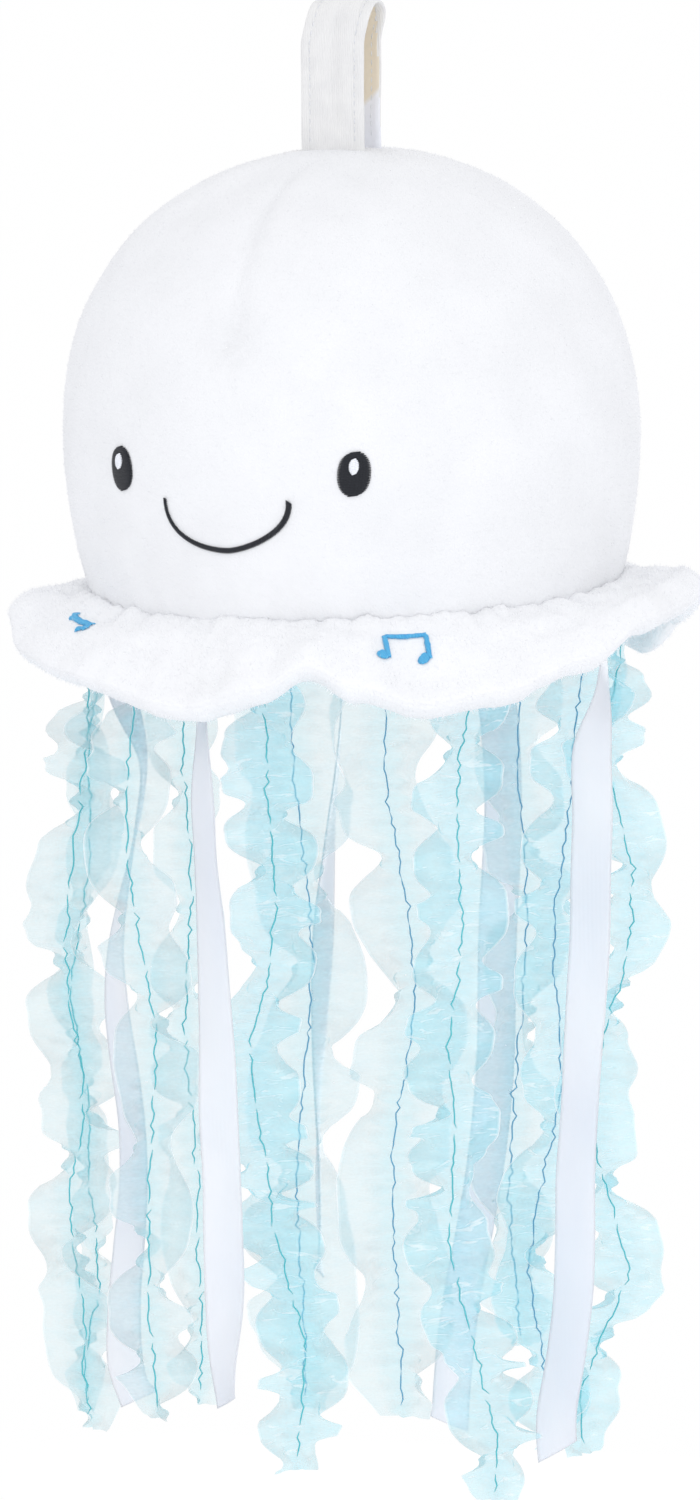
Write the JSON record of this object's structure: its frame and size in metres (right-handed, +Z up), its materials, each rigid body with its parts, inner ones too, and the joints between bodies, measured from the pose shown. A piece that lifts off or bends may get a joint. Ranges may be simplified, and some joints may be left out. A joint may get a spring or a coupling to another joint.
{
  "type": "plush jellyfish",
  "caption": "White plush jellyfish with an embroidered smiling face, a wavy brim, sheer ruffled organza tentacles, satin ribbons and a strap loop to hang it by.",
  "frame": {"origin": "inside top of the hang loop, where a hook or peg bears, on the toy's middle line", "axes": "+Z up, from the tentacles to the loop; the face looks along -Y; +X is the toy's own left, the viewer's right"},
  "size_m": [0.2088, 0.2088, 0.4642],
  "materials": {
    "plush": "short white plush pile, matt",
    "fibre_filling": "loose white polyester fibre",
    "strap_cloth": "white brushed cloth strap, edge stitched",
    "black_stitching": "near-black satin-stitch embroidery",
    "white_stitching": "white satin-stitch embroidery",
    "blue_stitching": "blue embroidery thread",
    "organza": "sheer pale aqua organza",
    "gather_thread": "teal sewing thread",
    "satin": "white satin ribbon, soft sheen"
  },
  "bodies": {
    "root": {"head_cover": "plush", "brim": "plush", "base_panel": "plush", "head_stuffing": "fibre_filling", "hang_loop": "strap_cloth", "left_eye": "black_stitching", "right_eye": "black_stitching", "smile": "black_stitching", "left_eye_glint": "white_stitching", "right_eye_glint": "white_stitching", "single_note": "blue_stitching", "beamed_notes": "blue_stitching", "organza_tentacle_01": "organza", "organza_tentacle_02": "organza", "organza_tentacle_03": "organza", "organza_tentacle_04": "organza", "organza_tentacle_05": "organza", "organza_tentacle_06": "organza", "organza_tentacle_07": "organza", "organza_tentacle_08": "organza", "organza_tentacle_09": "organza", "organza_tentacle_10": "organza", "organza_tentacle_11": "organza", "gather_thread_01": "gather_thread", "gather_thread_02": "gather_thread", "gather_thread_03": "gather_thread", "gather_thread_04": "gather_thread", "gather_thread_05": "gather_thread", "gather_thread_06": "gather_thread", "gather_thread_07": "gather_thread", "gather_thread_08": "gather_thread", "gather_thread_09": "gather_thread", "gather_thread_10": "gather_thread", "gather_thread_11": "gather_thread", "satin_ribbon_1": "satin", "satin_ribbon_2": "satin", "satin_ribbon_3": "satin", "satin_ribbon_4": "satin", "satin_ribbon_5": "satin"}
  },
  "joints": []
}
